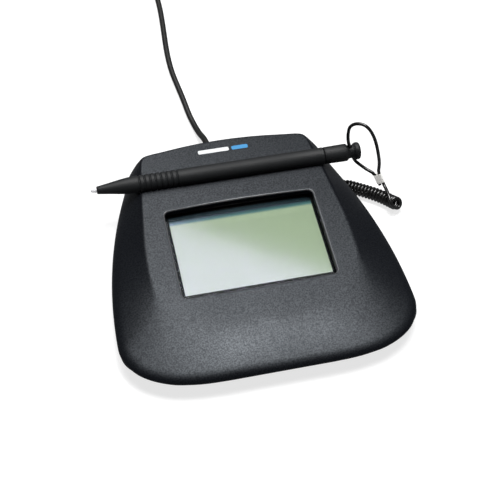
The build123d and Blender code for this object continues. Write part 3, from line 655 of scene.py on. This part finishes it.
def make_mark(name, start, size):
    """Thin printed bar with rounded corners on the strip behind the stylus."""
    half_x, half_y = size[0] / 2, size[1] / 2
    corner = half_y * MARK_CORNER_SHARE
    outline = []
    for sign_x, sign_y, turn in ((1, -1, -90), (1, 1, 0), (-1, 1, 90), (-1, -1, 180)):
        for i in range(7):
            angle = math.radians(turn + 15 * i)
            x = start + half_x + sign_x * (half_x - corner) + corner * math.cos(angle)
            outline.append((x, MARK_Y + sign_y * (half_y - corner) + corner * math.sin(angle)))
    count = len(outline)
    lifts = (MARK_LIFT, MARK_THICKNESS)
    vertices = [metres((x, y, plateau_z(y) + lift)) for lift in lifts for x, y in outline]
    faces = [tuple(reversed(range(count))), tuple(range(count, 2 * count))]
    for a in range(count):
        b = (a + 1) % count
        faces.append((a, b, b + count, a + count))
    mark = link_mesh(name, vertices, faces)
    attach(mark, "base")
    return mark


def new_material(name):
    """Empty node material with its output, and a function that adds and links nodes."""
    material = bpy.data.materials.new(name)
    material.use_nodes = True
    tree = material.node_tree
    tree.nodes.clear()

    def add(kind, links=(), **values):
        node = tree.nodes.new(kind)
        for key, value in values.items():
            if key in node.inputs:
                node.inputs[key].default_value = value
            else:
                setattr(node, key, value)
        for socket, source in links:
            tree.links.new(source, node.inputs[socket])
        return node

    return material, add


def set_inputs(node, values):
    """Sets a node's sockets by name."""
    for key, value in values.items():
        node.inputs[key].default_value = value


def mix_colours(add, factor, first, second):
    """Colour output that goes from first to second with factor; either may be a colour or a socket."""
    node = add("ShaderNodeMix", data_type="RGBA")
    for index, value in ((6, first), (7, second)):
        if isinstance(value, tuple):
            node.inputs[index].default_value = (*value, 1.0)
        else:
            node.id_data.links.new(value, node.inputs[index])
    node.id_data.links.new(factor, node.inputs[0])
    return node.outputs[2]


def spread(add, value, low, high, to_low, to_high):
    """Output that runs from to_low to to_high as value goes from low to high."""
    node = add("ShaderNodeMapRange", [("Value", value)])
    set_inputs(node, {"From Min": low, "From Max": high, "To Min": to_low, "To Max": to_high})
    return node.outputs["Result"]


def surface(
    name, colour, roughness, grain, bump, vary=0.2, patches=30.0, stretch=None, glints=None, **sockets
):
    """Moulded or drawn surface.

    Grain and patches are per metre, bump is the grain's height in millimetres, and vary is the share by which
    the colour changes. Stretch scales the texture's axes, and glints is the range of the specular level.
    """
    material, add = new_material(name)
    place = add("ShaderNodeTexCoord").outputs["Object"]
    if stretch:
        place = add("ShaderNodeMapping", [("Vector", place)], Scale=stretch).outputs["Vector"]
    fine = add("ShaderNodeTexNoise", [("Vector", place)], Scale=grain, Detail=3.0, Roughness=0.6)
    wide = add("ShaderNodeTexNoise", [("Vector", place)], Scale=patches, Detail=2.0)
    dark = tuple(c * (1 - vary) for c in colour)
    light = tuple(c * (1 + vary) for c in colour)
    tone = mix_colours(add, spread(add, fine.outputs["Fac"], *NOISE_SPAN, 0.0, 1.0), dark, light)
    rough = spread(add, wide.outputs["Fac"], *NOISE_SPAN, roughness * 0.92, roughness * 1.08)
    raised = add("ShaderNodeBump", [("Height", fine.outputs["Fac"])], Strength=1.0, Distance=bump * MM)
    shader = add(
        "ShaderNodeBsdfPrincipled",
        [("Base Color", tone), ("Roughness", rough), ("Normal", raised.outputs["Normal"])],
    )
    set_inputs(shader, sockets)
    if glints:
        speck = add("ShaderNodeTexNoise", [("Vector", place)], Scale=grain * 0.8, Detail=1.0)
        level = spread(add, speck.outputs["Fac"], 0.35, 0.65, *glints)
        material.node_tree.links.new(level, shader.inputs["Specular IOR Level"])
    add("ShaderNodeOutputMaterial", [("Surface", shader.outputs["BSDF"])])
    return material


def clear_surface(name, tint, gloss, roughness):
    """Thin clear pane: what is behind it, tinted, with a soft mirror on top."""
    material, add = new_material(name)
    place = add("ShaderNodeTexCoord").outputs["Object"]
    haze = add("ShaderNodeTexNoise", [("Vector", place)], Scale=22.0, Detail=2.0)
    rough = spread(add, haze.outputs["Fac"], *NOISE_SPAN, roughness * 0.9, roughness * 1.1)
    behind = add("ShaderNodeBsdfTransparent", Color=(*tint, 1.0))
    mirror = add("ShaderNodeBsdfGlossy", [("Roughness", rough)], Color=(*gloss, 1.0))
    share = add("ShaderNodeFresnel", IOR=1.5)
    mixed = add("ShaderNodeMixShader", [(0, share.outputs["Fac"]), (1, behind.outputs["BSDF"]),
                                        (2, mirror.outputs["BSDF"])])
    add("ShaderNodeOutputMaterial", [("Surface", mixed.outputs["Shader"])])
    return material


def display_surface():
    """Reflective liquid crystal display: fine pixel grid, and along its far side a dark band that is partly
    the panel's border and partly painted shade of the window's far wall.
    """
    material, add = new_material("lcd_green")
    place = add("ShaderNodeTexCoord").outputs["Object"]
    tilted = add("ShaderNodeMapping", [("Vector", place)], Rotation=(-TILT, 0.0, 0.0))
    axes = add("ShaderNodeSeparateXYZ", [("Vector", tilted.outputs["Vector"])])
    near, middle, far = (y * MM for y in LCD_SHADE_Y)
    # Painted shade of the window's far wall, together with the panel's own dark border, darkens the far side
    border_and_shade_band = spread(add, axes.outputs["Y"], near, middle, 0.0, 1.0)
    edge = spread(add, axes.outputs["Y"], middle, far, 0.0, 1.0)
    cells = add("ShaderNodeTexChecker", [("Vector", place)], Scale=2500.0)
    tone = mix_colours(add, cells.outputs["Fac"], *LCD_CELLS)
    tone = mix_colours(add, border_and_shade_band, tone, LCD_BORDER_AND_SHADE_BAND)
    tone = mix_colours(add, edge, tone, LCD_FAR_BORDER_AND_SHADE)
    grain = add("ShaderNodeTexNoise", [("Vector", place)], Scale=900.0, Detail=2.0)
    rough = spread(add, grain.outputs["Fac"], *NOISE_SPAN, 0.5, 0.62)
    crystal = add("ShaderNodeBsdfPrincipled", [("Base Color", tone), ("Roughness", rough)])
    set_inputs(crystal, {"Specular IOR Level": 0.02})
    mirror = add("ShaderNodeBsdfGlossy", Roughness=0.09, Color=LCD_MIRROR)
    share = add("ShaderNodeFresnel", IOR=2.1)
    mixed = add("ShaderNodeMixShader", [(0, share.outputs["Fac"]), (1, crystal.outputs["BSDF"]),
                                        (2, mirror.outputs["BSDF"])])
    add("ShaderNodeOutputMaterial", [("Surface", mixed.outputs["Shader"])])
    return material


def make_materials():
    """Every finish by the name of the record's material slot."""
    plain = {"vary": 0.2, "patches": 40.0}
    return {
        "housing_black": surface(
            "housing_black", (0.005, 0.0057, 0.0075), 0.36, 1700.0, 0.02, 0.3, glints=(0.16, 0.34),
            **{"Specular Tint": (0.86, 0.93, 1.0, 1.0)}
        ),
        # Lighter than the housing's black: painted highlight on the window's rounding
        "housing_edge_painted_highlight": surface("housing_edge_painted_highlight", (0.085, 0.088, 0.093), 0.28, 1700.0, 0.004, 0.15),
        "stylus_black": surface(
            "stylus_black", (0.0095, 0.0105, 0.0115), 0.6, 2600.0, 0.02, 0.25, **{"Specular IOR Level": 0.32}
        ),
        "tether_black": surface(
            "tether_black", (0.009, 0.009, 0.009), 0.3, 900.0, 0.006, 0.2, **{"Specular IOR Level": 0.8}
        ),
        "cord_black": surface("cord_black", (0.009, 0.009, 0.0085), 0.46, 1600.0, 0.012, 0.25),
        "tie_black": surface("tie_black", (0.012, 0.012, 0.013), 0.5, 1200.0, 0.02, 0.25),
        "foot_rubber": surface("foot_rubber", (0.016, 0.016, 0.017), 0.75, 1800.0, 0.03, 0.3),
        # The ferrule glows a little: painted light that brightens it
        "ferrule_silver": surface(
            "ferrule_silver", (0.92, 0.91, 0.88), 0.35, 1400.0, 0.012, 0.05,
            **{"Emission Color": (1.0, 0.98, 0.93, 1.0), "Emission Strength": 0.15}
        ),
        "screw_steel": surface("screw_steel", (0.45, 0.45, 0.46), 0.3, 2200.0, 0.008, 0.1, Metallic=1.0),
        "plug_steel": surface(
            "plug_steel", (0.62, 0.62, 0.63), 0.28, 500.0, 0.006, 0.06, 60.0, (1, 12, 1), Metallic=1.0
        ),
        "pin_steel": surface(
            "pin_steel", (0.6, 0.6, 0.61), 0.22, 700.0, 0.004, 0.08, 60.0, (12, 1, 1), Metallic=1.0
        ),
        "bezel_steel": surface(
            "bezel_steel", (0.008, 0.009, 0.01), 0.5, 1500.0, 0.01, 0.2, **{"Specular IOR Level": 0.03}
        ),
        "contact_gold": surface("contact_gold", (0.83, 0.6, 0.25), 0.25, 1200.0, 0.004, 0.08, Metallic=1.0),
        "plate_silver": surface("plate_silver", (0.5, 0.51, 0.52), 0.38, 260.0, 0.006, 0.1, 60.0, (12, 1, 1)),
        "nib_white": surface("nib_white", (0.72, 0.72, 0.74), 0.35, 2400.0, 0.006, 0.04),
        "core_grey": surface("core_grey", (0.3, 0.3, 0.31), 0.5, 1500.0, 0.01, **plain),
        "gasket_foam": surface("gasket_foam", (0.01, 0.01, 0.011), 0.85, 2600.0, 0.06, **plain),
        "guide_white": surface("guide_white", (0.8, 0.81, 0.8), 0.4, 1500.0, 0.01, 0.05),
        "board_green": surface("board_green", (0.012, 0.11, 0.045), 0.45, 1200.0, 0.02, **plain),
        "chip_black": surface("chip_black", (0.018, 0.018, 0.02), 0.55, 2400.0, 0.02, **plain),
        "component_tan": surface("component_tan", (0.45, 0.36, 0.24), 0.45, 1800.0, 0.01, **plain),
        "header_white": surface("header_white", (0.75, 0.73, 0.66), 0.45, 1800.0, 0.01, 0.06),
        "ribbon_amber": surface(
            "ribbon_amber", (0.5, 0.24, 0.04), 0.35, 700.0, 0.006, 0.15, 40.0, (1, 0.1, 1)
        ),
        "wire_insulation": surface("wire_insulation", (0.35, 0.06, 0.05), 0.45, 1800.0, 0.008, **plain),
        "tongue_white": surface("tongue_white", (0.78, 0.78, 0.76), 0.42, 1800.0, 0.008, 0.05),
        "clear_glass": clear_surface("clear_glass", (0.97, 0.985, 0.975), (0.06, 0.06, 0.07), 0.12),
        "sensor_film": clear_surface("sensor_film", (0.96, 0.975, 0.965), (0.05, 0.05, 0.05), 0.3),
        "lcd_green": display_surface(),
        "mark_white": surface("mark_white", (0.66, 0.67, 0.68), 0.5, 2400.0, 0.002, 0.04),
        "mark_blue": surface("mark_blue", (0.0, 0.2, 0.46), 0.5, 2400.0, 0.002, 0.06),
    }


def paint(obj, material):
    """Gives an object one material."""
    obj.data.materials.clear()
    obj.data.materials.append(material)


def assign_finishes(materials, made):
    """Materials for the pieces made here, and for the CAD's own pieces by their slots."""
    for obj, slot in made:
        paint(obj, materials[slot])
    slots = {part["node"]: part["material_slot"] for part in frame["record"]["subparts"]}
    for node, obj in frame["nodes"].items():
        for place in obj.material_slots:
            place.material = materials[slots[node]]


def paint_window_highlight(housing, material):
    """The rounding round the display window: smoother than the grained plastic beside it, and lighter, the
    lighter colour a painted highlight.
    """
    housing.data.materials.append(material)
    for face in housing.data.polygons:
        x, y, z = face.center / MM
        depth = (plateau_z(y) - z) * math.cos(TILT)
        near = abs(x) < WINDOW_HIGHLIGHT_REACH[0] and abs(y - WINDOW_Y) < WINDOW_HIGHLIGHT_REACH[1]
        if near and WINDOW_HIGHLIGHT_TOP < depth < WINDOW_HIGHLIGHT_SHARE * WINDOW_ROUND:
            face.material_index = 1


def make_floor():
    """Pale floor under the pad."""
    half = FLOOR_SIZE / 2
    floor = link_mesh(
        "floor", [(-half, -half, 0), (half, -half, 0), (half, half, 0), (-half, half, 0)], [(0, 1, 2, 3)]
    )
    glow = {"Emission Color": (1.0, 1.0, 1.0, 1.0), "Emission Strength": FLOOR_GLOW}
    floor.data.materials.append(surface("floor_white", (0.32, 0.32, 0.32), 0.9, 60.0, 0.0, 0.01, 4.0, **glow))
    floor.visible_glossy = False


def make_light(name, place, aim, size, radiance):
    """Rectangular lamp of the given size that shines from place at aim."""
    data = bpy.data.lights.new(name, "AREA")
    data.shape = "RECTANGLE"
    data.size, data.size_y = size
    data.energy = radiance * math.pi * size[0] * size[1]
    lamp = link(name, data)
    lamp.location = place
    lamp.rotation_euler = (Vector(aim) - Vector(place)).to_track_quat("-Z", "Y").to_euler()
    return lamp


def make_room():
    """Dim room above the table's height, and the paler table below it."""
    world = bpy.data.worlds.new("room")
    world.use_nodes = True
    tree = world.node_tree
    background = tree.nodes["Background"]
    background.inputs["Color"].default_value = (0.95, 0.97, 1.0, 1.0)
    place = tree.nodes.new("ShaderNodeTexCoord")
    axes = tree.nodes.new("ShaderNodeSeparateXYZ")
    level = tree.nodes.new("ShaderNodeMapRange")
    span = {"From Min": -ROOM_HORIZON, "From Max": ROOM_HORIZON, "To Min": ROOM_BELOW, "To Max": ROOM_ABOVE}
    set_inputs(level, span)
    tree.links.new(place.outputs["Generated"], axes.inputs["Vector"])
    tree.links.new(axes.outputs["Z"], level.inputs["Value"])
    tree.links.new(level.outputs["Result"], background.inputs["Strength"])
    return world


def make_lights():
    """A soft box overhead with a bright centre, a lamp behind the pad, and a dim room."""
    key = make_light("key", KEY_PLACE, (KEY_PLACE[0], KEY_PLACE[1], 0), KEY_SIZE, KEY_RADIANCE)
    key.rotation_euler = (0, 0, math.radians(KEY_TURN))
    make_light("back", BACK_PLACE, (0, 0, 0), BACK_SIZE, BACK_RADIANCE)
    make_light("centre", CENTRE_PLACE, (0, 0, 0), CENTRE_SIZE, CENTRE_RADIANCE)
    bpy.context.scene.world = make_room()
    bpy.context.scene.view_settings.view_transform = "Standard"


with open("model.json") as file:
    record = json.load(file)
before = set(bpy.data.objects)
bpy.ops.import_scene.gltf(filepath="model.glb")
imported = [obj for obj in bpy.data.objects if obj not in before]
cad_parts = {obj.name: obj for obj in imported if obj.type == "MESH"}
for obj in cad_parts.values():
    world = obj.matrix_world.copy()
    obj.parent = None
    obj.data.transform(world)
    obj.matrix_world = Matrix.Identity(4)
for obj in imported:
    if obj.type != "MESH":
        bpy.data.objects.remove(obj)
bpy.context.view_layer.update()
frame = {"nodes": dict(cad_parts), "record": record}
make_camera()
usb_cord = make_usb_cord()
tether, loop = make_tether()
housing = make_upper_housing()
grip = make_grip()
cap = make_cap()
white_mark = make_mark("mark_white", **WHITE_BAR)
blue_mark = make_mark("mark_blue", **BLUE_BAR)
make_floor()
make_lights()
finishes = make_materials()
assign_finishes(
    finishes,
    [
        (usb_cord, "cord_black"),
        (tether, "tether_black"),
        (loop, "tether_black"),
        (housing, "housing_black"),
        (grip, "stylus_black"),
        (cap, "stylus_black"),
        (white_mark, "mark_white"),
        (blue_mark, "mark_blue"),
    ],
)
paint_window_highlight(housing, finishes["housing_edge_painted_highlight"])
